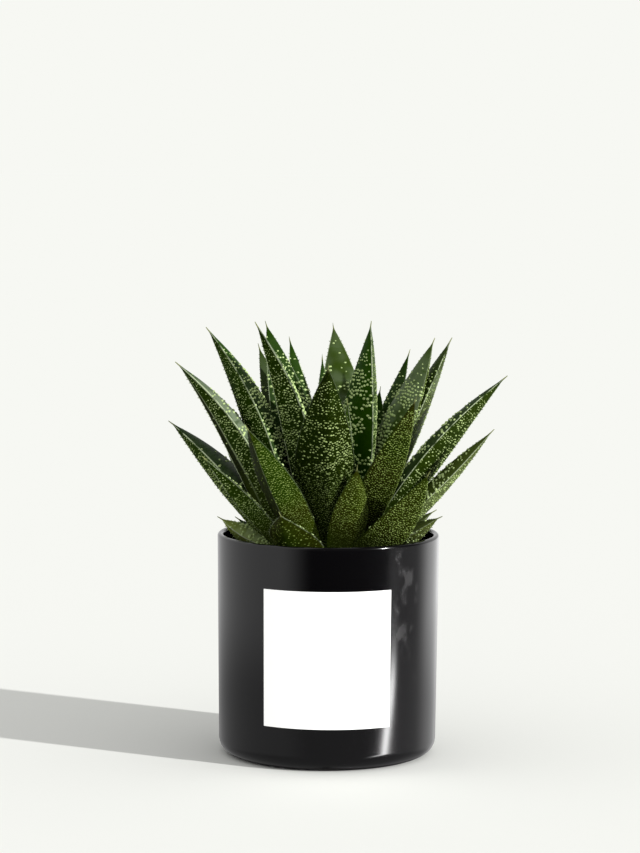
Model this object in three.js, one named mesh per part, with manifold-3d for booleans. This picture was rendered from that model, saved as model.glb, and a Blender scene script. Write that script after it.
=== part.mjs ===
// A spotted, keeled gasteria in a plain glazed pot.
// Millimetres, +Z up. The pot stands on z = 0 with its axis on the Z axis, and the label faces -Y.
import * as THREE from 'three';
import { mergeVertices } from 'three/addons/utils/BufferGeometryUtils.js';
import Module from 'manifold-3d';

const wasm = await Module();
wasm.setup();

// ---- driving sizes -------------------------------------------------------------------------

const pot = {
  height: 110,
  rimRadius: 55,
  footRadius: 54,      // where the wall meets the rounded foot: the wall tapers slightly
  footRounding: 8,
  wall: 3,
  floor: 4,
  segments: 64,
};

const label = {
  width: 64,           // along the wall
  bottom: 21.5,
  top: 88.6,
  turn: -0.5,          // degrees round the pot from the middle of its front
  thickness: 0.4,
  steps: 16,
};

const soil = {
  top: 93,
  holeDepth: 9,        // the stem stands in this hole
  segments: 32,
};

const stem = {
  radius: 12,          // in the soil
  neck: 94,            // above this it widens into the crown that carries the leaves
  crownRadius: 20,
  crownBottom: 97,
  crownTop: 100,       // above this it narrows to the heart
  heartRadius: 4,
  top: 105.5,
  segments: 20,
};

const gap = 0.3;       // left between pieces that touch

const blade = {
  depth: 0.38,         // keel depth over the blade's full width
  shoulder: 0.42,      // how far up the leaf it is widest
  footSpread: 0.72,    // width at the foot over the full width
  crown: 0.18,         // rise of the upper face over the half width
  crownShoulder: 0.8,  // height of the upper face half way to the margin, over its rise
  keelSide: 0.15,      // how far the keel stands off the middle, over the half width
  flank: 0.62,         // depth half way from the margin to the keel, over the keel's depth
  taper: 0.86,         // how fast it narrows to the tip: 1 is plainest, less is fuller
  tooth: 0.5,          // how far a marginal tooth stands out
  tipRadius: 0.35,
  bristle: 3,          // length of the pale hair at the tip
  stationPitch: 6.9,   // length of leaf for each cross-section
};

// Where each whorl of leaves leaves the stem: its distance from the axis and its height.
const whorls = {
  heart: { foot: 3, height: 105 },
  inner: { foot: 6, height: 104 },
  middle: { foot: 11, height: 102.5 },
  outer: { foot: 16, height: 101 },
  low: { foot: 20, height: 101 },
};

// Each leaf, from the heart outwards. azimuth: the way it leans, 0 to +X and 90 to +Y.
// rise: its slope where it leaves the stem. bend: how much that slope changes by the tip.
// turn: how much the azimuth changes by the tip. roll: how far the blade twists by the tip.
const leafPlan = [
  { whorl: 'heart', azimuth: 100, rise: 79, bend: 0, length: 91, width: 11 },
  { whorl: 'heart', azimuth: 330, rise: 82, bend: 4, length: 70, width: 15 },
  { whorl: 'heart', azimuth: 225, rise: 80, bend: 4, length: 58, width: 14 },
  { whorl: 'inner', azimuth: 192, rise: 92, bend: -35, length: 118, width: 30 },
  { whorl: 'middle', azimuth: 44, rise: 85, bend: -6, length: 110, width: 35, turn: -14, roll: -8 },
  { whorl: 'middle', azimuth: 264, rise: 64, bend: 6, length: 101, width: 30, turn: 15 },
  { whorl: 'middle', azimuth: 22, rise: 69, bend: -6, length: 110, width: 34, roll: 6 },
  { whorl: 'middle', azimuth: 25, rise: 66, bend: -10, length: 115, width: 30, roll: -8 },
  { whorl: 'middle', azimuth: 48, rise: 61, bend: 2, length: 105, width: 17 },
  { whorl: 'middle', azimuth: 71, rise: 66, bend: -2, length: 116, width: 28, turn: 40 },
  { whorl: 'middle', azimuth: 108, rise: 69, bend: -16, length: 113, width: 15 },
  { whorl: 'middle', azimuth: 136, rise: 82, bend: -18, length: 114, width: 28, roll: -8 },
  { whorl: 'middle', azimuth: 315, rise: 56, bend: 5, length: 90, width: 25 },
  { whorl: 'outer', azimuth: 54, rise: 67, bend: 6, length: 81, width: 24 },
  { whorl: 'outer', azimuth: 166, rise: 88, bend: -42, length: 125, width: 34, roll: 7 },
  { whorl: 'outer', azimuth: 130, rise: 73, bend: -10, length: 105, width: 22 },
  { whorl: 'outer', azimuth: 236, rise: 56, bend: -10, length: 85, width: 24 },
  { whorl: 'outer', azimuth: 358, rise: 65, bend: -28, length: 114, width: 30 },
  { whorl: 'outer', azimuth: 66, rise: 50, bend: -6, length: 98, width: 27 },
  { whorl: 'outer', azimuth: 98, rise: 46, bend: -8, length: 96, width: 28 },
  { whorl: 'outer', azimuth: 30, rise: 48, bend: -8, length: 82, width: 24 },
  { whorl: 'outer', azimuth: 140, rise: 46, bend: -4, length: 74, width: 26 },
  { whorl: 'low', azimuth: 180, rise: 82, bend: -45, length: 115, width: 33 },
  { whorl: 'low', azimuth: 347, rise: 47, bend: -4, length: 86, width: 20, roll: 24 },
  { whorl: 'low', azimuth: 168, rise: 60, bend: -29, length: 88, width: 29 },
  { whorl: 'low', azimuth: 206, rise: 52, bend: -12, length: 67, width: 18 },
  { whorl: 'low', azimuth: 314, rise: 33, bend: 20, length: 64, width: 28, turn: 6 },
  { whorl: 'low', azimuth: 288, rise: 55, bend: 20, length: 50, width: 20, turn: 8 },
  { whorl: 'low', azimuth: 240, rise: 35, bend: 14, length: 33, width: 29, turn: -6 },
  { whorl: 'low', azimuth: 82, rise: 34, bend: 4, length: 70, width: 24 },
  { whorl: 'low', azimuth: 46, rise: 28, bend: 6, length: 54, width: 22 },
  { whorl: 'low', azimuth: 124, rise: 28, bend: 6, length: 56, width: 22 },
  { whorl: 'low', azimuth: 338, rise: 31, bend: -8, length: 42, width: 22, roll: 16 },
  { whorl: 'low', azimuth: 10, rise: 31, bend: -4, length: 37, width: 16, roll: 12 },
  { whorl: 'low', azimuth: 326, rise: 23, bend: -2, length: 40, width: 12 },
  { whorl: 'low', azimuth: 176, rise: 22, bend: 4, length: 36, width: 21, roll: -14 },
  { whorl: 'low', azimuth: 24, rise: 18, bend: 8, length: 36, width: 18 },
  { whorl: 'low', azimuth: 150, rise: 16, bend: 8, length: 34, width: 17 },
];

// ---- materials -----------------------------------------------------------------------------

const glaze = new THREE.MeshStandardMaterial({ color: 0x141316, roughness: 0.12, metalness: 0 });
const paper = new THREE.MeshStandardMaterial({ color: 0xf4f4f1, roughness: 0.85, metalness: 0 });
const earth = new THREE.MeshStandardMaterial({ color: 0x2e241c, roughness: 0.95, metalness: 0 });
const stalk = new THREE.MeshStandardMaterial({ color: 0x8a9a5a, roughness: 0.6, metalness: 0 });
const leafGreen = new THREE.MeshStandardMaterial({ color: 0x2c4a1a, roughness: 0.4, metalness: 0 });

const plant = new THREE.Group();

function place(geometry, name, material) {
  const mesh = new THREE.Mesh(geometry, material);
  mesh.name = name;
  plant.add(mesh);
}

// ---- turned pieces -------------------------------------------------------------------------

// A solid turned about Z from [radius, height] points that start and end on the axis.
function turned(profile, segments) {
  const points = profile.map(([radius, height]) => new THREE.Vector2(radius, height));
  return new THREE.LatheGeometry(points, segments).rotateX(Math.PI / 2);
}

// Points on a quarter circle, from one angle to another in degrees.
function arc(centreRadius, centreHeight, radius, from, to, steps) {
  const points = [];
  for (let i = 0; i <= steps; i += 1) {
    const angle = THREE.MathUtils.degToRad(THREE.MathUtils.lerp(from, to, i / steps));
    points.push([centreRadius + radius * Math.cos(angle), centreHeight + radius * Math.sin(angle)]);
  }
  return points;
}

// The pot's outer radius at a height above the rounded foot.
function wallRadius(height) {
  const along = (height - pot.footRounding) / (pot.height - pot.footRounding);
  return THREE.MathUtils.lerp(pot.footRadius, pot.rimRadius, along);
}

function potGeometry() {
  const lip = pot.wall / 2;
  const floorRadius = wallRadius(pot.footRounding) - pot.wall;
  const floorRounding = pot.footRounding - pot.wall;
  return turned([
    [0, 0],
    ...arc(pot.footRadius - pot.footRounding, pot.footRounding, pot.footRounding, -90, 0, 4),
    ...arc(pot.rimRadius - lip, pot.height - lip, lip, 0, 180, 4),
    ...arc(floorRadius - floorRounding, pot.floor + floorRounding, floorRounding, 0, -90, 2),
    [0, pot.floor],
  ], pot.segments);
}

function soilGeometry() {
  const floorRounding = pot.footRounding - pot.wall;
  const bottom = pot.floor + gap;
  const bottomRadius = wallRadius(bottom) - pot.wall - gap;
  const topRadius = wallRadius(soil.top) - pot.wall - gap;
  const holeRadius = stem.radius + gap;
  return turned([
    [0, bottom],
    [bottomRadius - floorRounding, bottom],
    [bottomRadius - gap, bottom + floorRounding],
    [topRadius, soil.top],
    [holeRadius, soil.top],
    [holeRadius, soil.top - soil.holeDepth],
    [0, soil.top - soil.holeDepth],
  ], soil.segments);
}

function stemGeometry(grow) {
  const foot = soil.top - soil.holeDepth + gap - grow;
  return turned([
    [0, foot],
    [stem.radius + grow, foot],
    [stem.radius + grow, stem.neck - grow],
    [stem.crownRadius + grow, stem.crownBottom - grow],
    [stem.crownRadius + grow, stem.crownTop + grow],
    [stem.heartRadius + grow, stem.top + grow],
    [0, stem.top + grow],
  ], stem.segments);
}

// ---- lofted pieces -------------------------------------------------------------------------

// A closed skin over a row of rings that have the same number of points.
function loft(rings) {
  const sides = rings[0].length;
  const positions = rings.flat().flatMap((point) => point.toArray());
  const faces = [];
  for (let ring = 0; ring + 1 < rings.length; ring += 1) {
    for (let side = 0; side < sides; side += 1) {
      const a = ring * sides + side;
      const b = ring * sides + (side + 1) % sides;
      faces.push(a, b, b + sides, a, b + sides, a + sides);
    }
  }
  const last = (rings.length - 1) * sides;
  for (let side = 1; side + 1 < sides; side += 1) {
    faces.push(0, side + 1, side);
    faces.push(last, last + side, last + side + 1);
  }
  const geometry = new THREE.BufferGeometry();
  geometry.setAttribute('position', new THREE.Float32BufferAttribute(positions, 3));
  geometry.setIndex(faces);
  return geometry;
}

// The label is a sheet bent round the front of the pot.
function labelGeometry() {
  const halfAngle = label.width / 2 / wallRadius((label.bottom + label.top) / 2);
  const middle = THREE.MathUtils.degToRad(label.turn - 90);
  const rings = [];
  for (let step = 0; step <= label.steps; step += 1) {
    const angle = middle + THREE.MathUtils.lerp(-halfAngle, halfAngle, step / label.steps);
    const corner = (height, out) => {
      const radius = wallRadius(height) + gap + out;
      return new THREE.Vector3(radius * Math.cos(angle), radius * Math.sin(angle), height);
    };
    rings.push([
      corner(label.bottom, 0),
      corner(label.top, 0),
      corner(label.top, label.thickness),
      corner(label.bottom, label.thickness),
    ]);
  }
  return loft(rings);
}

function heading(azimuth, rise) {
  const a = THREE.MathUtils.degToRad(azimuth);
  const r = THREE.MathUtils.degToRad(rise);
  return new THREE.Vector3(Math.cos(a) * Math.cos(r), Math.sin(a) * Math.cos(r), Math.sin(r));
}

// Width of the blade over its full width, from foot (0) to tip (1).
function spread(along) {
  if (along < blade.shoulder) {
    const up = Math.sin(Math.PI / 2 * along / blade.shoulder);
    return THREE.MathUtils.lerp(blade.footSpread, 1, up);
  }
  return Math.sin(Math.PI / 2 * (1 - along) / (1 - blade.shoulder)) ** blade.taper;
}

function leafSpine(leaf) {
  const { foot, height } = whorls[leaf.whorl];
  const start = heading(leaf.azimuth, 0).multiplyScalar(foot).setZ(height);
  const first = heading(leaf.azimuth, leaf.rise).multiplyScalar(leaf.length / 2);
  const second = heading(leaf.azimuth + (leaf.turn ?? 0), leaf.rise + leaf.bend)
    .multiplyScalar(leaf.length / 2);
  const knee = start.clone().add(first);
  return new THREE.QuadraticBezierCurve3(start, knee, knee.clone().add(second));
}

// One cross-section: two margins, a gently crowned upper face and a keel below, off the middle.
function leafRing(leaf, spine, along, toothed, grow) {
  const centre = spine.getPoint(along);
  const tangent = spine.getTangent(along);
  const azimuth = THREE.MathUtils.degToRad(leaf.azimuth + (leaf.turn ?? 0) * along);
  const side = new THREE.Vector3(-Math.sin(azimuth), Math.cos(azimuth), 0);
  side.addScaledVector(tangent, -side.dot(tangent)).normalize();
  const roll = THREE.MathUtils.degToRad(leaf.roll ?? 0) * along * (2 - along);
  side.applyAxisAngle(tangent, roll);
  const up = new THREE.Vector3().crossVectors(tangent, side);

  const wide = spread(along);
  const half = Math.max(leaf.width / 2 * wide, blade.tipRadius) + grow;
  const depth = Math.max(leaf.width * blade.depth * wide, blade.tipRadius) + grow;
  const margin = half + (toothed ? blade.tooth : 0);
  const crown = Math.max(half * blade.crown, blade.tipRadius) + grow;
  const shoulder = crown * blade.crownShoulder;
  const keel = blade.keelSide * half;
  const flank = -depth * blade.flank;
  const section = [
    [margin, 0],
    [half / 2, shoulder],
    [0, crown],
    [-half / 2, shoulder],
    [-margin, 0],
    [(keel - half) / 2, flank],
    [keel, -depth - (toothed && along > blade.shoulder ? blade.tooth : 0)],
    [(keel + half) / 2, flank],
  ];
  return section.map(([x, y]) => centre.clone().addScaledVector(side, x).addScaledVector(up, y));
}

function leafGeometry(leaf, grow = 0) {
  const spine = leafSpine(leaf);
  const stations = 2 * Math.round(leaf.length / blade.stationPitch / 2);
  const rings = [];
  for (let station = 0; station <= stations; station += 1) {
    rings.push(leafRing(leaf, spine, station / stations, station % 2 === 1, grow));
  }
  const tip = rings.at(-1);
  const hair = spine.getTangent(1).multiplyScalar(blade.bristle);
  rings.push(tip.map((point) => point.clone().add(hair)));
  return loft(rings);
}

// ---- cutting leaves clear of each other ----------------------------------------------------

function toSolid(geometry) {
  const bare = geometry.clone();
  bare.deleteAttribute('normal');
  bare.deleteAttribute('uv');
  const merged = mergeVertices(bare, 1e-4);
  return new wasm.Manifold(new wasm.Mesh({
    numProp: 3,
    vertProperties: new Float32Array(merged.attributes.position.array),
    triVerts: new Uint32Array(merged.index.array),
  }));
}

function toGeometry(solid) {
  const mesh = solid.getMesh();
  const geometry = new THREE.BufferGeometry();
  geometry.setAttribute('position', new THREE.BufferAttribute(mesh.vertProperties, 3));
  geometry.setIndex(new THREE.BufferAttribute(mesh.triVerts, 1));
  return geometry;
}

// The largest of the bodies that a cut leaves: the rest are loose scraps.
function largestBody(solid) {
  return solid.decompose().reduce((kept, body) => (body.volume() > kept.volume() ? body : kept));
}

// ---- the model -----------------------------------------------------------------------------

place(potGeometry(), 'pot', glaze);
place(labelGeometry(), 'label', paper);
place(soilGeometry(), 'soil', earth);
place(stemGeometry(0), 'stem', stalk);

// A leaf tucks in behind the ones nearer the heart, so each is cut clear of all before it.
const cleared = [toSolid(stemGeometry(gap))];
const counts = {};
for (const leaf of leafPlan) {
  let solid = toSolid(leafGeometry(leaf));
  for (const inner of cleared) {
    solid = solid.subtract(inner);
  }
  cleared.push(toSolid(leafGeometry(leaf, gap)));
  counts[leaf.whorl] = (counts[leaf.whorl] ?? 0) + 1;
  place(toGeometry(largestBody(solid)), `leaf_${leaf.whorl}_${counts[leaf.whorl]}`, leafGreen);
}

export default plant;
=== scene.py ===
"""A spotted, keeled gasteria in a plain black glazed pot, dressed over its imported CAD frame."""
import math
import random

import bmesh
import bpy
from mathutils import Matrix, Vector, noise


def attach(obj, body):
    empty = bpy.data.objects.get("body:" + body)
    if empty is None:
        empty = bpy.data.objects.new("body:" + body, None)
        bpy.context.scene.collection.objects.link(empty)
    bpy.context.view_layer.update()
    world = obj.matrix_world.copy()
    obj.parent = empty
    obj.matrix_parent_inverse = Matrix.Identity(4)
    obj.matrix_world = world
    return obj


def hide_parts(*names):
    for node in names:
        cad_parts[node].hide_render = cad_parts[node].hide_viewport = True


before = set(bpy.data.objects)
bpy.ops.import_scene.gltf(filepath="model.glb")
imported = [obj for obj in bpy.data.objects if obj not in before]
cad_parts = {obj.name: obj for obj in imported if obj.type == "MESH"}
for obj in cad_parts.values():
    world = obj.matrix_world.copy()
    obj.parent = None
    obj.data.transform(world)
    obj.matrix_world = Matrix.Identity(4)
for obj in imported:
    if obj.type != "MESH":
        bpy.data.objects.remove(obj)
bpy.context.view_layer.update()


# ---- the pot ---------------------------------------------------------------------------------
# A straight stoneware cylinder with a rounded foot and a thin rounded lip, slip cast and dipped
# in a black gloss glaze. It stands on the floor and everything else stands in it.

pot_height = 0.110
pot_rim_radius = 0.055
pot_foot_radius = 0.054
pot_foot_rounding = 0.008
pot_wall = 0.003
pot_floor = 0.004
pot_segments = 192
rounding_steps = 12           # in the curve of the foot, and in that of the lip
inside_steps = 6              # in the curve between the wall and the floor inside

glaze_black = (0.0022, 0.0020, 0.0024, 1)
# The colour of the painted reflection of the leaves on the glaze.
glaze_painted_reflection = (0.030, 0.029, 0.030, 1)
bare_clay = (0.028, 0.026, 0.028, 1)
# Where the painted reflection of the leaves fades in and out again along X and Z, and where it
# fades out along Y.
reflection_across = (0.0315, 0.0335, 0.041, 0.045)
reflection_up = (0.034, 0.080, 0.104, 0.109)
reflection_back = (-0.022, -0.012)
glaze_edge = (0.0010, 0.0026)  # the glaze begins between these heights


def arc(centre, radius, start, end, steps):
    """Points on part of a circle, with its angles in degrees, as (radius, height) pairs."""
    points = []
    for step in range(steps + 1):
        angle = math.radians(start + (end - start) * step / steps)
        points.append((centre[0] + radius * math.cos(angle), centre[1] + radius * math.sin(angle)))
    return points


def wall_radius(height):
    """The pot's outer radius at a height above its rounded foot."""
    along = (height - pot_foot_rounding) / (pot_height - pot_foot_rounding)
    return pot_foot_radius + (pot_rim_radius - pot_foot_radius) * along


def round_axis(radius, angle, height):
    """The point at a distance from the Z axis, an angle in radians and a height."""
    return radius * math.cos(angle), radius * math.sin(angle), height


def cast(shape, name):
    """The plain mesh of a finished shape."""
    mesh = bpy.data.meshes.new(name)
    shape.to_mesh(mesh)
    shape.free()
    return mesh


def turned(name, profile, segments):
    """A closed mesh turned about Z from (radius, height) points that start and end on the axis."""
    shape = bmesh.new()
    rings = []
    for radius, height in profile[1:-1]:
        ring = []
        for segment in range(segments):
            angle = math.tau * segment / segments
            ring.append(shape.verts.new(round_axis(radius, angle, height)))
        rings.append(ring)
    first = shape.verts.new((0, 0, profile[0][1]))
    last = shape.verts.new((0, 0, profile[-1][1]))
    for segment in range(segments):
        after = (segment + 1) % segments
        shape.faces.new((first, rings[0][after], rings[0][segment]))
        for low, high in zip(rings, rings[1:]):
            shape.faces.new((low[segment], low[after], high[after], high[segment]))
        shape.faces.new((last, rings[-1][segment], rings[-1][after]))
    for face in shape.faces:
        face.smooth = True
    return cast(shape, name)


def placed(name, data):
    """A new object in the scene."""
    made = bpy.data.objects.new(name, data)
    bpy.context.scene.collection.objects.link(made)
    return made


def piece_from(mesh, material, node):
    """Shows a mesh in place of the CAD node that it stands for."""
    piece = placed(mesh.name, mesh)
    mesh.materials.clear()
    mesh.materials.append(material)
    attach(piece, "root")
    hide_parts(node)
    return piece


class Wire:
    """A node's output. Python's operators on it add Math nodes to its tree."""

    def __init__(self, bench, socket):
        self.bench = bench
        self.socket = socket

    def also(self, name):
        """Another output of the same node."""
        outputs = self.socket.node.outputs
        return Wire(self.bench, next(out for out in outputs if out.name == name and out.enabled))

    def math(self, operation, *terms):
        """A Math node on these terms."""
        return self.bench.node("ShaderNodeMath", {"operation": operation}, dict(enumerate(terms)))

    def above(self, level):
        """1 where it is above a level, otherwise 0."""
        return self.math("GREATER_THAN", self, level)

    def __add__(self, other):
        return self.math("ADD", self, other)

    def __sub__(self, other):
        return self.math("SUBTRACT", self, other)

    def __rsub__(self, other):
        return self.math("SUBTRACT", other, self)

    def __mul__(self, other):
        return self.math("MULTIPLY", self, other)

    def __truediv__(self, other):
        return self.math("DIVIDE", self, other)

    def __pow__(self, other):
        return self.math("POWER", self, other)

    __radd__ = __add__
    __rmul__ = __mul__


class Bench:
    """A node tree that is being wired up."""

    def __init__(self, tree):
        self.tree = tree

    def put(self, socket, value):
        """Links a wire to an input socket, or sets its plain value."""
        if isinstance(value, Wire):
            self.tree.links.new(value.socket, socket)
        else:
            socket.default_value = value

    def node(self, kind, settings=None, values=None):
        """Adds a node, sets it and feeds its inputs, and gives its first live output."""
        made = self.tree.nodes.new(kind)
        for name, value in (settings or {}).items():
            setattr(made, name, value)
        for key, value in (values or {}).items():
            if isinstance(key, int):
                socket = made.inputs[key]
            else:
                socket = next(put for put in made.inputs if put.name == key and put.enabled)
            self.put(socket, value)
        return Wire(self, next((out for out in made.outputs if out.enabled), None))

    def step(self, value, low, high):
        """0 below low, 1 above high and smooth between them."""
        return self.node("ShaderNodeMapRange", {"interpolation_type": "SMOOTHSTEP"},
                         {"Value": value, "From Min": low, "From Max": high})

    def band(self, value, start, full, last, end):
        """0 up to start, 1 from full to last, 0 from end on, and smooth between them."""
        return self.step(value, start, full) * (1 - self.step(value, last, end))

    def tint(self, amount, first, second):
        """One colour turning into another."""
        return self.node("ShaderNodeMix", {"data_type": "RGBA"},
                         {"Factor": amount, "A": first, "B": second})

    def grain(self, place, scale, detail=2.0, stretch=(1, 1, 1)):
        """Soft noise from 0 to 1 over a place, finer where the scale is larger."""
        if tuple(stretch) != (1, 1, 1):
            place = self.node("ShaderNodeVectorMath", {"operation": "MULTIPLY"},
                              {0: place, 1: stretch})
        return self.node("ShaderNodeTexNoise", None,
                         {"Vector": place, "Scale": scale, "Detail": detail})

    def bump(self, height, distance, strength):
        """A surface normal from a height of 0 to 1."""
        return self.node("ShaderNodeBump", None,
                         {"Height": height, "Distance": distance, "Strength": strength})

    def here(self):
        """The place on the object."""
        return self.node("ShaderNodeTexCoord").also("Object")

    def axes(self, vector):
        """The three numbers of a vector."""
        split = self.node("ShaderNodeSeparateXYZ", None, {"Vector": vector})
        return split.also("X"), split.also("Y"), split.also("Z")

    def mark(self, name):
        """A number that the mesh carries."""
        return self.node("ShaderNodeAttribute", {"attribute_name": name}).also("Fac")


def finish_named(name):
    """A new material with its tree emptied, and the bench for its nodes."""
    material = bpy.data.materials.new(name)
    material.use_nodes = True
    material.node_tree.nodes.clear()
    return material, Bench(material.node_tree)


def surface(bench, values):
    """Ends a material in one principled surface."""
    shader = bench.node("ShaderNodeBsdfPrincipled", None, values)
    bench.node("ShaderNodeOutputMaterial", None, {"Surface": shader})


def black_glaze():
    """Deep black gloss with a slow waver, a painted reflection of the leaves as lighter, rougher
    marks on one side, and a bare matt foot ring.
    """
    material, bench = finish_named("black_glaze")
    place = bench.here()
    waver = bench.grain(place, 16, 1.0, (1, 1, 0.3))
    across, deep, height = bench.axes(place)
    # Painted reflection: the leaves above, painted as lighter, rougher marks on the front right of
    # the glaze.
    reflection_marks = bench.step(bench.grain(place, 130, 5.0, (1, 1, 0.55)), 0.49, 0.64)
    reflection_marks = reflection_marks * bench.band(across, *reflection_across) * bench.band(height, *reflection_up)
    reflection_marks = reflection_marks * (1 - bench.step(deep, *reflection_back))
    gloss = bench.node("ShaderNodeBsdfPrincipled", None, {
        "Base Color": bench.tint(reflection_marks, glaze_black, glaze_painted_reflection),
        "Roughness": 0.10 + 0.06 * waver + 0.12 * reflection_marks,
        "IOR": 1.5,
        "Normal": bench.bump(waver, 0.0004, 0.5),
    })
    clay = bench.node("ShaderNodeBsdfPrincipled", None, {
        "Base Color": bare_clay, "Roughness": 0.9, "Specular IOR Level": 0.02})
    bare = 1 - bench.step(height, *glaze_edge)
    finish = bench.node("ShaderNodeMixShader", None, {0: bare, 1: gloss, 2: clay})
    bench.node("ShaderNodeOutputMaterial", None, {"Surface": finish})
    return material


inside_floor_radius = wall_radius(pot_foot_rounding) - pot_wall
inside_rounding = pot_foot_rounding - pot_wall
pot_profile = (
    [(0, 0)]
    + arc((pot_foot_radius - pot_foot_rounding, pot_foot_rounding), pot_foot_rounding,
          -90, 0, rounding_steps)
    + arc((pot_rim_radius - pot_wall / 2, pot_height - pot_wall / 2), pot_wall / 2,
          0, 180, rounding_steps)
    + arc((inside_floor_radius - inside_rounding, pot_floor + inside_rounding),
          inside_rounding, 0, -90, inside_steps)
    + [(0, pot_floor)]
)
piece_from(turned("glazed_pot", pot_profile, pot_segments), black_glaze(), "pot")


# ---- the label -------------------------------------------------------------------------------
# One square of smooth uncoated white paper, left bare. It is glued flat round the front of the pot,
# half way between its foot and its lip.

label_width = 0.064
label_bottom = 0.0215
label_top = 0.0886
label_thickness = 0.0004
label_standoff = 0.0003       # from the glaze to the paper's back
label_steps = 48
label_turn = -0.5             # degrees round the pot from the middle of its front

paper_white = (0.94, 0.94, 0.93, 1)
paper_fibre = (0.90, 0.90, 0.89, 1)
paper_painted_glow = 0.30       # painted light, a glow that the paper gives off on top of what it reflects


def paper_sheet():
    """A thin closed strip that follows the pot's wall."""
    half_angle = label_width / 2 / wall_radius((label_bottom + label_top) / 2)
    shape = bmesh.new()
    rings = []
    for step in range(label_steps + 1):
        angle = math.radians(label_turn - 90) + half_angle * (2 * step / label_steps - 1)
        ring = []
        for height, out in ((label_bottom, 0), (label_top, 0),
                            (label_top, label_thickness), (label_bottom, label_thickness)):
            radius = wall_radius(height) + label_standoff + out
            ring.append(shape.verts.new(round_axis(radius, angle, height)))
        rings.append(ring)
    for low, high in zip(rings, rings[1:]):
        for corner in range(4):
            after = (corner + 1) % 4
            shape.faces.new((low[corner], low[after], high[after], high[corner]))
    shape.faces.new(reversed(rings[0]))
    shape.faces.new(rings[-1])
    return cast(shape, "paper_label")


def white_paper():
    """Matt white paper with a faint fibre, made whiter by a painted glow so that the side the key
    misses stays white.
    """
    material, bench = finish_named("white_paper")
    fibre = bench.grain(bench.here(), 900, 3.0)
    surface(bench, {
        "Base Color": bench.tint(fibre, paper_fibre, paper_white),
        "Roughness": 0.75 + 0.1 * fibre,
        "Specular IOR Level": 0.3,
        # Painted light: the paper glows so that its unlit side is as white as its lit side.
        "Emission Color": (1.0, 1.0, 1.0, 1),
        "Emission Strength": paper_painted_glow,
        "Normal": bench.bump(fibre, 0.00003, 0.4),
    })
    return material


piece_from(paper_sheet(), white_paper(), "label")


# ---- the potting mix -------------------------------------------------------------------------
# Moist dark peat and bark with a few white grains of perlite. It fills the pot to a finger's
# breadth below the lip, and the stem stands in a hole in it.

soil_clearance = 0.0003
soil_top = 0.093
soil_bottom = pot_floor + soil_clearance
soil_hole_depth = 0.009
soil_relief = 0.0012
soil_lumps = 260              # how close the lumps of its top are
soil_rings = 22
soil_segments = 128
stem_radius = 0.012
crumb_sizes = {"Spacing": 0.0021, "Crumb": 0.0010, "Seed": 11}
crumbs_not_white = 0.93       # the share of crumbs that aren't perlite

wet_peat = (0.010, 0.006, 0.004, 1)
dry_peat = (0.050, 0.032, 0.020, 1)
perlite_white = (0.55, 0.53, 0.48, 1)


def soil_bed():
    """The body of potting mix, with an uneven top that stays below its level."""
    top_radius = wall_radius(soil_top) - pot_wall - soil_clearance
    foot_radius = wall_radius(soil_bottom) - pot_wall - soil_clearance
    hole_radius = stem_radius + soil_clearance
    profile = [(0, soil_bottom), (foot_radius - inside_rounding, soil_bottom),
               (foot_radius - soil_clearance, soil_bottom + inside_rounding),
               (top_radius, soil_top)]
    for step in range(1, soil_rings + 1):
        profile.append((top_radius + (hole_radius - top_radius) * step / soil_rings, soil_top))
    profile += [(hole_radius, soil_top - soil_hole_depth), (0, soil_top - soil_hole_depth)]
    mesh = turned("potting_mix", profile, soil_segments)
    for vertex in mesh.vertices:
        if vertex.co.z > soil_top - 0.0001:
            vertex.co.z -= soil_relief * (0.5 + 0.5 * noise.noise(vertex.co * soil_lumps))
    return mesh


def damp_earth():
    """Dark brown crumbs, paler and drier on top of the lumps."""
    material, bench = finish_named("damp_earth")
    crumb = bench.grain(bench.here(), 420, 5.0)
    peat = bench.tint(bench.step(crumb, 0.35, 0.7), wet_peat, dry_peat)
    surface(bench, {
        "Base Color": bench.tint(bench.mark("pale"), peat, perlite_white),
        "Roughness": 0.85,
        "Normal": bench.bump(crumb, 0.0006, 0.8),
    })
    return material


def new_tree(name, sizes):
    """An empty Geometry Nodes tree with its named inputs, and the wires that they arrive on."""
    tree = bpy.data.node_groups.new(name, "GeometryNodeTree")
    tree.interface.new_socket("Geometry", in_out="INPUT", socket_type="NodeSocketGeometry")
    tree.interface.new_socket("Geometry", in_out="OUTPUT", socket_type="NodeSocketGeometry")
    for size, kind in sizes.items():
        tree.interface.new_socket(size, in_out="INPUT", socket_type=kind)
    bench = Bench(tree)
    return tree, bench, bench.node("NodeGroupInput")


def field(bench, name, kind="FLOAT"):
    """A named attribute as a field."""
    return bench.node("GeometryNodeInputNamedAttribute", {"data_type": kind}, {"Name": name})


def scattered(bench, points, shape, turn, size):
    """Copies of a small shape on points, made real."""
    copies = bench.node("GeometryNodeInstanceOnPoints", None,
                        {"Points": points, "Instance": shape, "Rotation": turn, "Scale": size})
    return bench.node("GeometryNodeRealizeInstances", None, {"Geometry": copies})


def chance(bench, low, high, seed):
    """A random number for each point."""
    return bench.node("FunctionNodeRandomValue", {"data_type": "FLOAT"},
                      {"Min": low, "Max": high, "Seed": seed})


def marked(bench, geometry, name, value):
    """Geometry that carries a named number on its points."""
    return bench.node("GeometryNodeStoreNamedAttribute", {"data_type": "FLOAT", "domain": "POINT"},
                      {"Geometry": geometry, "Name": name, "Value": value})


def closed_tree(bench, parts, material):
    """Ends a tree: joins its parts, sets their material and gives them out."""
    joined = bench.node("GeometryNodeJoinGeometry")
    for part in reversed(parts):
        bench.tree.links.new(part.socket, joined.socket.node.inputs[0])
    real = bench.node("GeometryNodeRealizeInstances", None, {"Geometry": joined})
    done = bench.node("GeometryNodeSetMaterial", None, {"Geometry": real, "Material": material})
    bench.node("NodeGroupOutput", None, {"Geometry": done})


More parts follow.
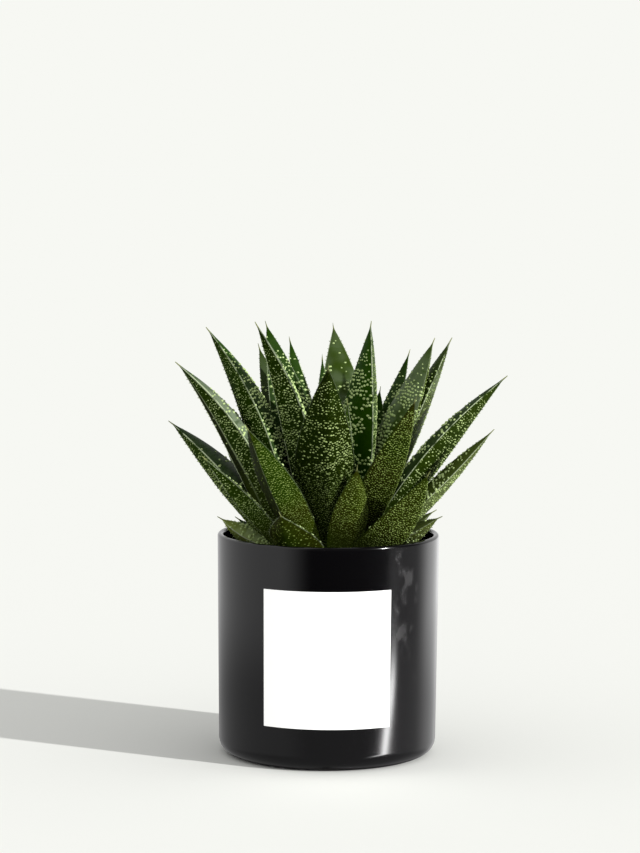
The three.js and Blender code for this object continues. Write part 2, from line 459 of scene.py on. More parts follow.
def grown(mesh, tree, sizes):
    """Runs a tree on a mesh and gives the plain mesh that results."""
    stock = placed("stock", mesh)
    modifier = stock.modifiers.new("grow", "NODES")
    modifier.node_group = tree
    for item in tree.interface.items_tree:
        if item.in_out == "INPUT" and item.name in sizes:
            modifier[item.identifier] = sizes[item.name]
    depsgraph = bpy.context.evaluated_depsgraph_get()
    result = bpy.data.meshes.new_from_object(stock.evaluated_get(depsgraph))
    result.name = mesh.name + "_full"
    bpy.data.objects.remove(stock)
    return result


def crumb_tree(material):
    """Scatters bark crumbs and perlite over the top of the mix."""
    tree, bench, start = new_tree("crumbs", {
        "Spacing": "NodeSocketFloat", "Crumb": "NodeSocketFloat", "Seed": "NodeSocketInt"})
    height = bench.axes(bench.node("GeometryNodeInputPosition"))[2]
    facing = bench.axes(bench.node("GeometryNodeInputNormal"))[2]
    top = height.above(soil_top - 1.5 * soil_relief) * facing.above(0.6)
    points = bench.node("GeometryNodeDistributePointsOnFaces", {"distribute_method": "POISSON"}, {
        "Mesh": start.also("Geometry"), "Selection": top, "Distance Min": start.also("Spacing"),
        "Density Max": 2e6, "Seed": start.also("Seed")})
    lump = bench.node("GeometryNodeMeshIcoSphere", None,
                      {"Radius": start.also("Crumb"), "Subdivisions": 1})
    turn = bench.node("FunctionNodeRandomValue", {"data_type": "FLOAT_VECTOR"},
                      {"Max": (math.tau, math.tau, math.tau), "Seed": 3})
    size = bench.node("ShaderNodeCombineXYZ", None, {
        "X": chance(bench, 0.5, 1.6, 4), "Y": chance(bench, 0.5, 1.2, 5),
        "Z": chance(bench, 0.4, 0.9, 6)})
    white = chance(bench, 0.0, 1.0, 7).above(crumbs_not_white)
    crumbs = scattered(bench, marked(bench, points, "pale", white), lump, turn, size)
    closed_tree(bench, [start.also("Geometry"), crumbs], material)
    return tree


earth = damp_earth()
piece_from(grown(soil_bed(), crumb_tree(earth), crumb_sizes), earth, "soil")


# ---- the stem --------------------------------------------------------------------------------
# A short thick stem of pale firm tissue. It stands in the hole in the mix and widens above it into
# the crown that every leaf grows from.

stem_foot = soil_top - soil_hole_depth + soil_clearance
stem_neck = 0.094
crown_radius = 0.020
crown_bottom = 0.097
crown_top = 0.100
heart_radius = 0.004
heart_top = 0.1055
stem_segments = 64

stem_green = (0.20, 0.24, 0.07, 1)
stem_straw = (0.34, 0.30, 0.15, 1)
scar_waves = 4500             # the rings' waves, in radians a metre


def stem_skin():
    """Pale green tissue with the faint rings that shed leaves leave."""
    material, bench = finish_named("stem_skin")
    place = bench.here()
    height = bench.axes(place)[2]
    ring = height.math("SINE", height * scar_waves) * 0.5 + 0.5
    fleck = bench.grain(place, 300, 3.0)
    surface(bench, {
        "Base Color": bench.tint(ring * fleck, stem_green, stem_straw),
        "Roughness": 0.6,
        "Normal": bench.bump(ring, 0.0002, 0.6),
    })
    return material


stem_profile = [
    (0, stem_foot), (stem_radius, stem_foot), (stem_radius, stem_neck),
    (crown_radius, crown_bottom), (crown_radius, crown_top), (heart_radius, heart_top),
    (0, heart_top),
]
piece_from(turned("stem_and_crown", stem_profile, stem_segments), stem_skin(),
           "stem")


# ---- the leaves ------------------------------------------------------------------------------
# A rosette of thick, stiff leaves that grow from the crown, each with a crowned upper face and an
# offset keel below. Pale tubercles stand on them, fine on the outer faces and broad in cross bands
# on the inner ones. Small teeth line the margins and keel, and a bristle ends each tip.

millimetre = 0.001

# Where each whorl leaves the stem: its distance from the axis and its height, in millimetres.
whorls = {
    "heart": (3, 105),
    "inner": (6, 104),
    "middle": (11, 102.5),
    "outer": (16, 101),
    "low": (20, 101),
}

# Each leaf, from the heart outwards: the way it leans, its slope where it leaves the stem, how
# much that slope changes by the tip, its length and width in millimetres, and, where it has them,
# the turn of its lean and the roll of its blade by the tip. Angles are in degrees.
leaf_plan = [
    ("heart", 100, 79, 0, 91, 11, 0, 0),
    ("heart", 330, 82, 4, 70, 15, 0, 0),
    ("heart", 225, 80, 4, 58, 14, 0, 0),
    ("inner", 192, 92, -35, 118, 30, 0, 0),
    ("middle", 44, 85, -6, 110, 35, -14, -8),
    ("middle", 264, 64, 6, 101, 30, 15, 0),
    ("middle", 22, 69, -6, 110, 34, 0, 6),
    ("middle", 25, 66, -10, 115, 30, 0, -8),
    ("middle", 48, 61, 2, 105, 17, 0, 0),
    ("middle", 71, 66, -2, 116, 28, 40, 0),
    ("middle", 108, 69, -16, 113, 15, 0, 0),
    ("middle", 136, 82, -18, 114, 28, 0, -8),
    ("middle", 315, 56, 5, 90, 25, 0, 0),
    ("outer", 54, 67, 6, 81, 24, 0, 0),
    ("outer", 166, 88, -42, 125, 34, 0, 7),
    ("outer", 130, 73, -10, 105, 22, 0, 0),
    ("outer", 236, 56, -10, 85, 24, 0, 0),
    ("outer", 358, 65, -28, 114, 30, 0, 0),
    ("outer", 66, 50, -6, 98, 27, 0, 0),
    ("outer", 98, 46, -8, 96, 28, 0, 0),
    ("outer", 30, 48, -8, 82, 24, 0, 0),
    ("outer", 140, 46, -4, 74, 26, 0, 0),
    ("low", 180, 82, -45, 115, 33, 0, 0),
    ("low", 347, 47, -4, 86, 20, 0, 24),
    ("low", 168, 60, -29, 88, 29, 0, 0),
    ("low", 206, 52, -12, 67, 18, 0, 0),
    ("low", 314, 33, 20, 64, 28, 6, 0),
    ("low", 288, 55, 20, 50, 20, 8, 0),
    ("low", 240, 35, 14, 33, 29, -6, 0),
    ("low", 82, 34, 4, 70, 24, 0, 0),
    ("low", 46, 28, 6, 54, 22, 0, 0),
    ("low", 124, 28, 6, 56, 22, 0, 0),
    ("low", 338, 31, -8, 42, 22, 0, 16),
    ("low", 10, 31, -4, 37, 16, 0, 12),
    ("low", 326, 23, -2, 40, 12, 0, 0),
    ("low", 176, 22, 4, 36, 21, 0, -14),
    ("low", 24, 18, 8, 36, 18, 0, 0),
    ("low", 150, 16, 8, 34, 17, 0, 0),
]

# How single leaves differ. A leaf that a list leaves out takes the plain value further down.
# sunned: how far the sun has turned the outer faces brown-green.
# lined: how bright and broad the pale line on the margins and keel is.
# painted_sheen: the face with a painted grey sheen, the upper one or a flank below it, and the
# sheen's strength.
# fine_reach: how far up the leaf fine close tubercles take the place of coarse ones.
# sparse: the face whose tubercles have worn away, and how many of them.
# pale: how much lighter and yellower the leaf is than its neighbours.
# lightness: how light its green is, where 1 is plain and less is darker.
# green_foot: how far up from the foot the tissue stays bright green, as a share of the length.
# dark_foot: how far up from the foot shade is painted on the skin, as a share of the length.
# shaded: the flank with a smooth strip of painted shade, or both of them, and how far down from the
# margin it begins.
sunned = {
    "middle_2": 0.3, "middle_9": 1.0, "outer_4": 1.0, "low_5": 0.8, "low_6": 1.0, "low_7": 1.0,
}
lined = {
    "outer_2": 0.8, "low_1": 1.0, "inner_1": 0.8, "middle_7": 1.0, "low_3": 0.9, "middle_4": 0.9,
    "outer_5": 0.75, "middle_1": 1.0, "low_2": 0.8, "low_5": 0.0, "middle_2": 0.1, "low_14": 1.0,
    "middle_9": 0.0, "outer_3": 0.1, "outer_4": 0.1, "low_6": 0.0, "low_7": 0.3,
}
# Painted sheen: grey painted on the faces that catch a glancing reflection, leaf by leaf.
painted_sheen = {
    "low_1": ("upper", 1.15), "middle_4": ("first", 0.35), "middle_3": ("upper", 0.45),
    "middle_6": ("upper", 0.45), "middle_1": ("first", 0.15), "outer_2": ("upper", 0.1),
    "outer_5": ("upper", 0.15), "low_3": ("upper", 0.25), "middle_8": ("upper", 0.1),
    "middle_7": ("upper", 0.1), "low_2": ("first", 0.1), "low_14": ("upper", 0.3),
    "outer_3": ("upper", 0.35),
}
fine_reach = {
    "middle_2": 0.50, "middle_9": 1.2, "outer_4": 1.2, "low_4": 0.7, "low_5": 1.2, "low_6": 1.2,
    "low_7": 1.2, "low_14": 0.3,
}
sparse = {
    "outer_3": ("upper", 0.9), "middle_6": ("upper", 0.55), "low_3": ("upper", 0.9),
    "low_1": ("upper", 0.5), "outer_5": ("upper", 0.5), "low_5": ("upper", 0.8),
    "low_6": ("upper", 0.8), "middle_9": ("upper", 0.8), "outer_4": ("upper", 0.7),
    "low_2": ("upper", 0.3), "low_11": ("upper", 0.9), "low_12": ("upper", 0.8),
    "low_7": ("flanks", 0.6), "middle_4": ("flanks", 0.3),
}
pale = {
    "low_14": 1.0, "low_11": 0.8, "low_12": 0.7, "low_13": 0.8, "low_2": 0.60, "outer_5": 0.1,
    "middle_6": 0.30, "middle_3": 0.3, "middle_4": 0.35, "outer_3": 0.3,
}
# lightness is partly the leaf's own tone and partly painted light: it is raised on leaves that the
# key leaves in shade, low_14 most, and lowered on leaves that it lights.
lightness = {
    "middle_2": 0.50, "middle_1": 1.35, "middle_3": 1.50, "middle_9": 0.60, "outer_2": 1.1,
    "outer_4": 1.10, "low_1": 0.85, "low_5": 0.70, "low_7": 0.80, "inner_1": 0.80,
    "outer_5": 0.85, "low_2": 1.30, "low_14": 3.5, "middle_8": 0.85, "outer_3": 0.75,
    "middle_6": 0.95,
}
green_foot = {"outer_4": 0.36}
dark_foot = {
    "middle_1": 0.60, "middle_2": 0.88, "middle_3": 0.70, "middle_9": 0.72, "outer_2": 0.70,
}
shaded = {"low_1": ("flanks", 0.66), "outer_4": ("first", -0.3)}
soft_keeled = ("middle_2", "middle_9", "low_5", "low_6", "low_7")

plain_sun = 0.1
plain_line = 0.4
plain_sheen = ("upper", 0.12)
plain_fine_reach = -1.0      # below the foot, so every tubercle is coarse
plain_wear = ("upper", 0.0)
plain_lightness = 0.85       # every leaf's own lightness is taken times this
plain_green_foot = 0.15
low_green_foot = 0.45
plain_dark_foot = 0.55
plain_shade = ("flanks", 2.0)  # past the keel, so there is no strip

blade_depth = 0.38           # keel depth over the blade's full width
blade_shoulder = 0.42        # how far up the leaf it is widest
blade_foot_spread = 0.72     # width at the foot over the full width
blade_crown = 0.18           # rise of the upper face over the half width
blade_crown_fullness = 2.3   # how flat that rise is across the middle
blade_keel_side = 0.15       # how far the keel stands off the middle, over the half width
blade_flank = 0.62           # depth half way from the margin to the keel, over the keel's depth
blade_soft_fullness = 1.45   # how round a soft keel is, where 1 is sharp
blade_taper = 0.86           # how fast it narrows to the tip: 1 is plainest, less is fuller
blade_tip_radius = 0.35      # this and the next four are in millimetres
blade_bristle = 3.0
blade_ripple = 0.12          # waver of the margins
blade_line = 0.40            # width of the pale line on each side of a margin
blade_bright_line = 0.35     # how much wider it is where it is brightest
bristle_rings = 3
bristle_vanishes = 3.2       # rings past the tip where the bristle would come to nothing
teeth_from = 0.25            # how far up the margin its teeth reach their full size
teeth_fade = 0.06            # how far below the tip they begin to shrink
keel_teeth_from = 0.35       # how far up the keel its teeth begin
keel_teeth_rise = 0.15       # and over how much of the length they grow to full size
station_pitch = 1.7          # millimetres from one cross-section to the next
crown_steps = 10
flank_steps = 6

outer_greens = (0.0080, 0.0222, 0.0002, 1), (0.0200, 0.0485, 0.0004, 1)
inner_greens = (0.0080, 0.0325, 0.0002, 1), (0.0205, 0.0640, 0.0006, 1)
sunned_brown = (0.026, 0.030, 0.0010, 1)
pale_green = (0.085, 0.105, 0.022, 1)
band_green = (0.050, 0.095, 0.012, 1)
strip_painted_shade = (0.015, 0.019, 0.007, 1)
strip_edge = (0.30, 0.36, 0.20, 1)
sheen_grey = (0.24, 0.30, 0.19, 1)
foot_green = (0.120, 0.190, 0.008, 1)
fleck_green = (0.12, 0.17, 0.02, 1)
margin_pale = (0.54, 0.62, 0.40, 1)
tubercle_green = (0.070, 0.110, 0.011, 1)
tubercle_white = (0.66, 0.82, 0.36, 1)
tubercle_sunned = (0.52, 0.66, 0.20, 1)
deep_shadow = (0.0015, 0.0035, 0.0001, 1)
dry_tip = (0.24, 0.26, 0.10, 1)

tubercle_sizes = {
    "Fine spacing": 0.00085, "Coarse spacing": 0.00110, "Broad spacing": 0.00180,
    "Fine dot": 0.00036, "Coarse dot": 0.00050, "Broad dot": 0.00088,
    "Tooth pitch": 0.0021, "Tooth": 0.00060,
}


def heading(azimuth, rise):
    """A unit vector from two angles in degrees."""
    a, r = math.radians(azimuth), math.radians(rise)
    return Vector((math.cos(a) * math.cos(r), math.sin(a) * math.cos(r), math.sin(r)))


def spread(along):
    """Width of the blade over its full width, from foot (0) to tip (1)."""
    if along < blade_shoulder:
        up = math.sin(math.pi / 2 * along / blade_shoulder)
        return blade_foot_spread + (1 - blade_foot_spread) * up
    return math.sin(math.pi / 2 * (1 - along) / (1 - blade_shoulder)) ** blade_taper


def bent(start, knee, end, along):
    """A point on a quadratic curve, and the curve's direction there."""
    point = start.lerp(knee, along).lerp(knee.lerp(end, along), along)
    return point, ((knee - start).lerp(end - knee, along)).normalized()


def section(half, depth, soft, pale_line):
    """One cross-section as (across, up, ridge, upper face, fall) rows, starting at a margin.

    The fall runs from 0 at the margins to 1 at the keel. A soft keel is rounded, and any other
    keel is a ridge where two flanks meet.
    """
    crown = max(half * blade_crown, blade_tip_radius)
    keel = blade_keel_side * half
    line = min(pale_line, half * 0.2)
    rows = [(half, 0, 1, 1, 0)]
    offsets = [1 - line / half]
    offsets += [1 - 2 * step / crown_steps for step in range(1, crown_steps)]
    offsets += [line / half - 1]
    for across in offsets:
        rows.append((across * half, crown * (1 - abs(across) ** blade_crown_fullness), 0, 1, 0))
    rows.append((-half, 0, 1, 0, 0))
    dip = 2 * blade_flank - 0.5
    for first, last in ((-half, keel), (keel, half)):
        span = abs(last - first)
        places = [line / span]
        places += [step / flank_steps for step in range(1, flank_steps)]
        places += [1 - line / span]
        for place in places:
            toward = place if last == keel else 1 - place
            low = 2 * toward * (1 - toward) * dip + toward * toward
            if soft:
                low = 1 - (1 - toward) ** blade_soft_fullness
            rows.append((first + (last - first) * place, -depth * low, 0, 0, toward))
        if last == keel:
            rows.append((keel, -depth, 0 if soft else 1, 0, 1))
    return rows


def leaf_blank(name, leaf, place):
    """A leaf's closed skin, with the fields that its teeth, tubercles and colours follow."""
    whorl, azimuth, rise, bend, length, width, turn, roll = leaf
    soft = place in soft_keeled
    sheen_face, sheen_depth = painted_sheen.get(place, plain_sheen)
    worn_face, wear = sparse.get(place, plain_wear)
    shaded_face, shade = shaded.get(place, plain_shade)
    brightness = lined.get(place, plain_line)
    pale_line = blade_line + blade_bright_line * brightness
    green = green_foot.get(place, low_green_foot if whorl == "low" else plain_green_foot)
    foot, height = whorls[whorl]
    start = heading(azimuth, 0) * foot + Vector((0, 0, height))
    knee = start + heading(azimuth, rise) * length / 2
    end = knee + heading(azimuth + turn, rise + bend) * length / 2
    stations = round(length / station_pitch)
    phase = random.Random(name).uniform(0, 50)
    shape = bmesh.new()
    ridge = shape.verts.layers.float.new("ridge")
    along_mark = shape.verts.layers.float.new("along")
    tooth = shape.verts.layers.float.new("tooth")
    fresh = shape.verts.layers.float.new("fresh")
    fall = shape.verts.layers.float.new("fall")
    habits = {
        "tan": sunned.get(place, plain_sun), "bright": brightness,
        "reach": fine_reach.get(place, plain_fine_reach), "pale": pale.get(place, 0.0),
        "lightness": plain_lightness * lightness.get(place, 1.0),
        "shade": shade, "dim": dark_foot.get(place, plain_dark_foot),
    }
    habit_layers = {habit: shape.verts.layers.float.new(habit) for habit in habits}
    outward = shape.verts.layers.float_vector.new("outward")
    sideways = shape.verts.layers.float_vector.new("sideways")
    upper = shape.faces.layers.float.new("upper")
    sheen = shape.faces.layers.float.new("sheen")
    worn = shape.faces.layers.float.new("worn")
    dusk = shape.faces.layers.float.new("dusk")
    skin = shape.loops.layers.uv.new("skin")
    rings = []
    rounds = []
    for station in range(stations + 1 + bristle_rings):
        along = min(station / stations, 1)
        centre, tangent = bent(start, knee, end, along)
        lean = math.radians(azimuth + turn * along)
        side = Vector((-math.sin(lean), math.cos(lean), 0))
        side = (side - tangent * side.dot(tangent)).normalized()
        side.rotate(Matrix.Rotation(math.radians(roll) * along * (2 - along), 3, tangent))
        up = tangent.cross(side)
        wide = spread(along)
        half = max(width / 2 * wide, blade_tip_radius)
        depth = max(width * blade_depth * wide, blade_tip_radius)
        past = station - stations
        if past > 0:
            centre = centre + tangent * blade_bristle * past / bristle_rings
            half = depth = blade_tip_radius * (1 - past / bristle_vanishes)
        body = math.sin(math.pi * min(1, along * 1.02)) ** 0.4
        ring = []
        ring_rows = section(half, depth, soft, pale_line)
        for across, lift, on_ridge, _, toward_keel in ring_rows:
            waver = 0
            if on_ridge and past < 0:
                wave = noise.noise(Vector((phase + along * length * 0.5, across, 0)))
                waver = blade_ripple * body * wave
            away = (side * across + up * lift)
            point = centre + away + away.normalized() * waver
            vertex = shape.verts.new(point * millimetre)
            vertex[ridge] = on_ridge
            vertex[along_mark] = along if past <= 0 else 1 + past / bristle_rings
            grip = 0
            if past < 0:
                grip = min(1, along / teeth_from) * min(1, (1 - along) / teeth_fade)
            is_keel = on_ridge and abs(across) < half * 0.5
            if is_keel:
                grip *= min(1, max(0, along - keel_teeth_from) / keel_teeth_rise)
            vertex[tooth] = max(0.0, grip)
            vertex[outward] = away.normalized()
            vertex[sideways] = side
            vertex[fall] = toward_keel
            vertex[fresh] = max(0, 1 - along / green)
            for habit, value in habits.items():
                vertex[habit_layers[habit]] = value
            ring.append(vertex)
        rings.append(ring)
        walk = [0]
        for before, after in zip(ring_rows, ring_rows[1:] + ring_rows[:1]):
            walk.append(walk[-1] + math.hypot(after[0] - before[0], after[1] - before[1]))
        rounds.append(walk)
    count = len(rings[0])
    travelled = [min(station, stations) * length / stations for station in range(len(rings))]
    # Every ring has its rows in the same order, so the last one's tell which face a column is on.
    for row, (low, high) in enumerate(zip(rings, rings[1:])):
        for column in range(count):
            after = (column + 1) % count
            face = shape.faces.new((low[column], low[after], high[after], high[column]))
            face.smooth = True
            face[upper] = ring_rows[column][3]
            middle = ring_rows[column][0] + ring_rows[after][0]
            flank = "first" if middle < 2 * blade_keel_side * half else "second"
            if sheen_face == ("upper" if face[upper] else flank):
                face[sheen] = sheen_depth * math.sin(math.pi * min(1, travelled[row] / length)) ** 0.6
            if worn_face == ("upper" if face[upper] else "flanks"):
                face[worn] = wear
            if not face[upper] and shaded_face in ("flanks", flank):
                face[dusk] = 1
            corners = ((rounds[row][column], row), (rounds[row][column + 1], row),
                       (rounds[row + 1][column + 1], row + 1), (rounds[row + 1][column], row + 1))
            for loop, (across, level) in zip(face.loops, corners):
                loop[skin].uv = (across * millimetre, travelled[level] * millimetre)
    shape.faces.new(reversed(rings[0]))
    shape.faces.new(rings[-1])
    for edge in shape.edges:
        edge.smooth = not (edge.verts[0][ridge] and edge.verts[1][ridge])
    return cast(shape, name)


def past_strip_edge(bench, fall, shade, along):
    """How far past the edge of the painted shade strip a place lies. Nearer the foot the strip is
    wider.
    """
    lower = 0.6 - along
    return fall - shade + 0.3 * lower * bench.step(lower, 0.0, 0.01)


def leaf_skin():
    """Waxy dark green, olive on some faces, yellower at the foot, with pale lines and spots,
    painted sheen and painted shade.
    """
    material, bench = finish_named("leaf_skin")
    mark = bench.mark
    place = bench.here()
    sheet = bench.node("ShaderNodeUVMap", {"uv_map": "skin"})
    along, spot, tone, upper = mark("along"), mark("spot"), mark("tone"), mark("upper")
    mottle = bench.grain(place, 110, 3.0)
    bands = bench.step(bench.grain(sheet, 1, 2.0, (60, 330, 1)), 0.50, 0.70)
    outer = bench.tint(mottle, *outer_greens)
    inner = bench.tint(mottle, *inner_greens)
    green = bench.tint(upper, outer, inner)
    brown = bench.step(bench.grain(place, 30, 1.0), 0.30, 0.60) * (1 - upper) * mark("tan")
    green = bench.tint(brown, green, sunned_brown)
    green = bench.tint(mark("pale"), green, pale_green)
    green = bench.tint(bands * 0.15, green, band_green)
    # Painted shade: a smooth dark strip down the flanks of the leaves in the shaded list, edged
    # with a pale seam.
    below = past_strip_edge(bench, mark("fall"), mark("shade"), along)
    strip = bench.step(below, 0.0, 0.04)
    green = bench.tint(strip * mark("dusk") * 0.9, green, strip_painted_shade)
    seam = bench.step(below, -0.07, -0.03) * (1 - strip)
    green = bench.tint(seam * mark("dusk") * 0.7, green, strip_edge)
    # Painted sheen: grey painted in patches where a face would catch a glancing reflection.
    sheen_patches = mark("sheen") * bench.step(bench.grain(place, 60, 2.0), 0.32, 0.58) * (1 - bands * 0.6)
    green = bench.tint(sheen_patches, green, sheen_grey)
    # The green is scaled by lightness, which is partly painted light.
    green = bench.node("ShaderNodeVectorMath", {"operation": "SCALE"},
                       {0: green, "Scale": mark("lightness")})
    green = bench.tint(mark("fresh") ** 1.2 * 0.9, green, foot_green)
    fleck = bench.node("ShaderNodeTexVoronoi", {"feature": "F1"}, {"Vector": sheet, "Scale": 1100})
    fleck = (1 - bench.step(fleck, 0.18, 0.32)) * (1 - upper * 0.6)
    green = bench.tint(fleck * 0.25, green, fleck_green)
    edge = bench.step(mark("ridge"), 0.22, 0.75)
    worn = bench.step(bench.grain(place, 200, 3.0), 0.32, 0.50)
    lower = bench.step(along, 0.08, 0.42)
    green = bench.tint(edge * worn * lower * mark("bright"), green, margin_pale)
    white = bench.tint(mark("tan") * (1 - upper), tubercle_white, tubercle_sunned)
    colour = bench.tint(spot, green, bench.tint(tone, tubercle_green, white))
    # Painted shade toward the foot, deep in the rosette where the leaves shade each other; the
    # spots on upper faces are mostly spared.
    shadow = (1 - bench.step(along / mark("dim"), 0.0, 1.0)) * (1 - mark("fresh")) * 0.78
    shadow = shadow * (1 - 0.75 * spot * upper)
    colour = bench.tint(shadow, colour, deep_shadow)
    colour = bench.tint(bench.step(along, 0.98, 1.02) * 0.8, colour, dry_tip)
    surface(bench, {
        "Base Color": colour,
        "Roughness": 0.36 + 0.16 * mottle + 0.1 * spot,
        "IOR": 1.45,
        "Specular IOR Level": 0.015,
        "Normal": bench.bump(mottle * 0.5 + bands * 0.5, 0.00025, 0.5),
    })
    return material


def tubercle_tree(material):
    """Raises tubercles on both faces of a leaf and teeth along its margins and keel."""
    sizes = {size: "NodeSocketFloat" for size in tubercle_sizes}
    tree, bench, start = new_tree("tubercles", {**sizes, "Seed": "NodeSocketInt"})
    leaf = start.also("Geometry")
    seed = start.also("Seed")
    along, upper, ridge = field(bench, "along"), field(bench, "upper"), field(bench, "ridge")
    sheet = field(bench, "skin", "FLOAT_VECTOR")
    inside = (1 - bench.step(ridge, 0.0, 0.25)) * (1 - bench.step(along, 0.93, 0.97))
    inside = inside * bench.step(along, 0.03, 0.07) * (1 - field(bench, "worn"))
    # No tubercles stand in the strip of painted shade.
    below = past_strip_edge(bench, field(bench, "fall"), field(bench, "shade"), along)
    inside = inside * (1 - bench.step(below, -0.06, 0.0) * field(bench, "dusk") * 0.95)
    bands = bench.step(bench.grain(sheet, 1, 1.0, (45, 260, 1)), 0.42, 0.54)

    def dots(factor, spacing, radius, blunt, smallest, tones, number, taper=0.0):
        """Low blunt cones, longer across the leaf than along it and smaller toward its tip.

        The number keeps their random draws apart from those of the other sizes.
        """
        points = bench.node(
            "GeometryNodeDistributePointsOnFaces", {"distribute_method": "POISSON"},
            {"Mesh": leaf, "Distance Min": spacing, "Density Max": 4e6,
             "Density Factor": factor, "Seed": seed + number})
        shape = bench.node("GeometryNodeMeshCone", None, {
            "Vertices": 5, "Side Segments": 1, "Fill Segments": 1, "Radius Top": radius * blunt,
            "Radius Bottom": radius, "Depth": radius * 0.7})
        level = bench.node("FunctionNodeAlignRotationToVector", {"axis": "Z"},
                           {"Vector": points.also("Normal")})
        level = bench.node("FunctionNodeAlignRotationToVector", {"axis": "X", "pivot_axis": "Z"},
                           {"Rotation": level, "Vector": field(bench, "sideways", "FLOAT_VECTOR")})
        size = chance(bench, smallest, 1.0, seed + number + 1)
        size = size * (1 - taper * bench.step(along, 0.60, 1.0))
        stretch = bench.node("ShaderNodeCombineXYZ", None, {
            "X": size * chance(bench, 1.15, 2.0, seed + number + 4), "Y": size, "Z": size})
        stored = marked(bench, points, "tone", chance(bench, *tones, seed + number + 2))
        stored = marked(bench, stored, "spot", chance(bench, 0.75, 1.0, seed + number + 3))
        return scattered(bench, stored, shape, level, stretch)

    fine_run = 1 - bench.step(along - field(bench, "reach"), -0.12, 0.12)
    fine = dots(inside * (1 - upper * 0.7) * fine_run,
                start.also("Fine spacing"), start.also("Fine dot"),
                blunt=0.0, smallest=0.6, tones=(0.03, 0.42), number=10)
    coarse = dots(inside * (1 - upper) * (1 - fine_run) * (0.30 + 0.70 * bands),
                  start.also("Coarse spacing"), start.also("Coarse dot"),
                  blunt=0.45, smallest=0.55, tones=(0.18, 0.82), number=20, taper=0.4)
    broad = dots(inside * upper * (1 - bench.step(along, 0.75, 0.95) * 0.7) * bands,
                 start.also("Broad spacing"), start.also("Broad dot"),
                 blunt=0.50, smallest=0.60, tones=(0.8, 1.0), number=30, taper=0.5)

    line = bench.node("GeometryNodeMeshToCurve", None,
                      {"Mesh": leaf, "Selection": ridge.above(0.99)})
    stands = bench.node("GeometryNodeCurveToPoints", {"mode": "LENGTH"},
                        {"Curve": line, "Length": start.also("Tooth pitch")})
    lean = bench.node("ShaderNodeVectorMath", {"operation": "SCALE"},
                      {0: stands.also("Tangent"), "Scale": 0.7})
    lean = bench.node("ShaderNodeVectorMath", {"operation": "ADD"},
                      {0: lean, 1: field(bench, "outward", "FLOAT_VECTOR")})
    turn = bench.node("FunctionNodeAlignRotationToVector", {"axis": "Z"}, {"Vector": lean})
    shape = bench.node("GeometryNodeMeshCone", None, {
        "Vertices": 4, "Side Segments": 1, "Fill Segments": 1, "Radius Top": 0.0,
        "Radius Bottom": start.also("Tooth") * 0.55, "Depth": start.also("Tooth") * 1.5})
    size = field(bench, "tooth") * chance(bench, 0.45, 1.0, seed + 41)
    teeth = scattered(bench, stands, shape, turn, size)
    teeth = marked(bench, marked(bench, teeth, "ridge", 0.6), "spot", 0.0)
    closed_tree(bench, [leaf, fine, coarse, broad, teeth], material)
    return tree


skin = leaf_skin()
tubercles = tubercle_tree(skin)
counts = {}
for number, leaf in enumerate(leaf_plan):
    counts[leaf[0]] = counts.get(leaf[0], 0) + 1
    place = f"{leaf[0]}_{counts[leaf[0]]}"
    node = f"leaf_{place}"
    blank = leaf_blank(f"grown_{node}", leaf, place)
    full = grown(blank, tubercles, {**tubercle_sizes, "Seed": 100 + 7 * number})
    piece_from(full, skin, node)


# ---- the studio ------------------------------------------------------------------------------
# A plain pale sweep lit by an even white dome and one low key light from the front right. Mirror
# reflections see a studio of their own: black card in front, white walls at the sides and back,
# and a narrow lit strip to the right.

backdrop_colour = (0.930, 0.938, 0.896)
dome = 0.66
key_azimuth = -28            # degrees from +X
key_rise = 21
key_spread = 1.2             # how wide the key looks, in degrees
key_strength = 3.6
strip_strength = 32
camera_place = (-0.00449, -1.4892, 0.3148)
camera_tilt = 84.173
camera_roll = 0.355
camera_lens = 127.64
camera_sensor = 36.0
floor_size = 30.0

key = placed("key_light", bpy.data.lights.new("key_light", "SUN"))
key.data.energy = key_strength
key.data.angle = math.radians(key_spread)
key.rotation_mode = "QUATERNION"
key.rotation_quaternion = heading(key_azimuth, key_rise).to_track_quat("Z", "Y")

floor_light = dome + key_strength * math.sin(math.radians(key_rise)) / math.pi
floor_mesh = bpy.data.meshes.new("pale_floor")
reach = floor_size / 2
floor_corners = [(-reach, -reach, 0), (reach, -reach, 0), (reach, reach, 0), (-reach, reach, 0)]
floor_mesh.from_pydata(floor_corners, [], [(0, 1, 2, 3)])
floor = placed("pale_floor", floor_mesh)
floor_paint, floor_bench = finish_named("pale_floor_paint")
floor_colour = tuple(value / floor_light for value in backdrop_colour) + (1,)
floor_bench.node("ShaderNodeOutputMaterial", None, {
    "Surface": floor_bench.node("ShaderNodeBsdfDiffuse", None, {"Color": floor_colour})})
floor_mesh.materials.append(floor_paint)
floor.visible_glossy = False

world = bpy.data.worlds.new("studio")
bpy.context.scene.world = world
world.use_nodes = True
world.node_tree.nodes.clear()
world.cycles.sampling_method = "NONE"
sky = Bench(world.node_tree)
look_x, look_y, look_z = sky.axes(sky.node("ShaderNodeTexCoord").also("Generated"))
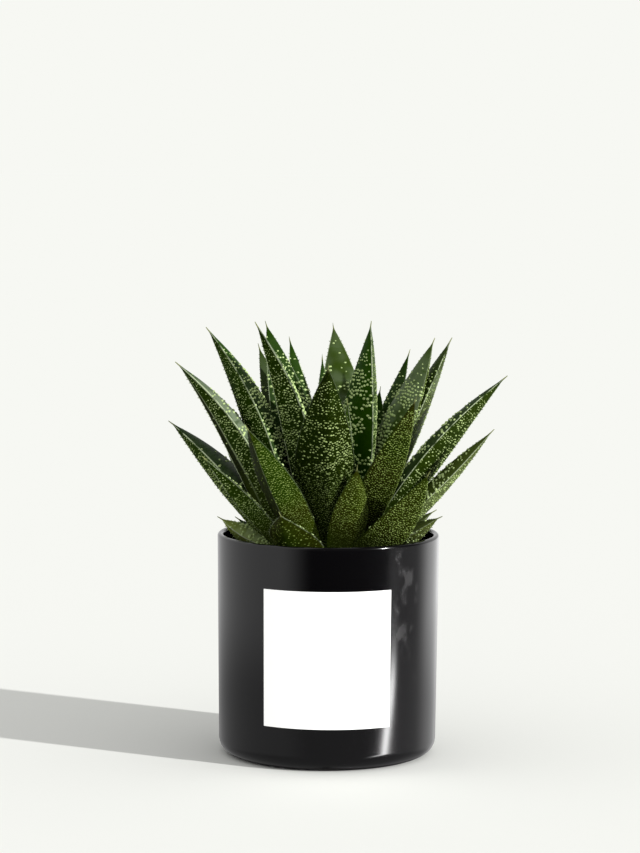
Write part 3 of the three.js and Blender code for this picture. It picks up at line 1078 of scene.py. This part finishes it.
# Degrees round from the front, positive to the right. Each wall fades in between two of them.
bearing = look_x.math("ARCTAN2", look_x, 0 - look_y) * (180 / math.pi)
left_wall = 1 - sky.step(bearing, -52, -16)
left_level = 0.16 + 0.69 * sky.step(look_z, -0.205, -0.13)
right_wall = sky.step(bearing, 102, 130)
right_level = 0.42 + 0.53 * sky.step(look_z, -0.205, -0.15)
right_level = right_level + 0.4 * sky.step(look_z, -0.158, -0.142)
lean = bearing - 110 * (look_z + 0.19)
strip = sky.band(lean, 67, 71, 73, 77)
strip = strip * (1 - sky.step(look_z, -0.185, -0.165)) * sky.step(look_z, -0.45, -0.24)
front = sky.step(bearing, 62, 69) * (0.25 + 0.17 * sky.step(look_z, -0.205, -0.17))
near_floor = (1 - sky.step(look_z, -0.22, -0.14)) * 0.25
fade = 0.15 + 0.85 * sky.step(look_z, -0.50, -0.25)
wall = (left_wall * left_level + right_wall * right_level + front) * fade
wall = wall + near_floor + strip * strip_strength
behind = sky.step(bearing.math("ABSOLUTE", bearing), 158, 180)
behind_level = (0.22 + 0.58 * sky.step(look_z, -0.205, -0.13)) * fade
wall = wall * (1 - behind) + behind * behind_level
above = sky.step(look_z, -0.04, 0.10)
sides = 0.06 + 0.80 * (left_wall + right_wall)
reflected = wall * (1 - above) + above * sides
rays = sky.node("ShaderNodeLightPath")
plain = sky.node("ShaderNodeBackground", None, {"Color": (1, 1, 1, 1), "Strength": dome})
mirror = sky.node("ShaderNodeBackground", None, {"Color": (1, 1, 1, 1), "Strength": reflected})
seen = sky.node("ShaderNodeBackground", None,
                {"Color": backdrop_colour + (1,), "Strength": 1.0})
lit = sky.node("ShaderNodeMixShader", None, {0: rays.also("Is Glossy Ray"), 1: plain, 2: mirror})
lit = sky.node("ShaderNodeMixShader", None, {0: rays.also("Is Camera Ray"), 1: lit, 2: seen})
sky.node("ShaderNodeOutputWorld", None, {"Surface": lit})

camera = placed("camera", bpy.data.cameras.new("camera"))
camera.data.lens = camera_lens
camera.data.sensor_width = camera_sensor
camera.data.clip_start = 0.05
camera.data.clip_end = 60.0
camera.matrix_world = (Matrix.Translation(camera_place)
                       @ Matrix.Rotation(math.radians(camera_tilt), 4, "X")
                       @ Matrix.Rotation(math.radians(camera_roll), 4, "Z"))
bpy.context.scene.camera = camera
bpy.context.scene.view_settings.view_transform = "Standard"
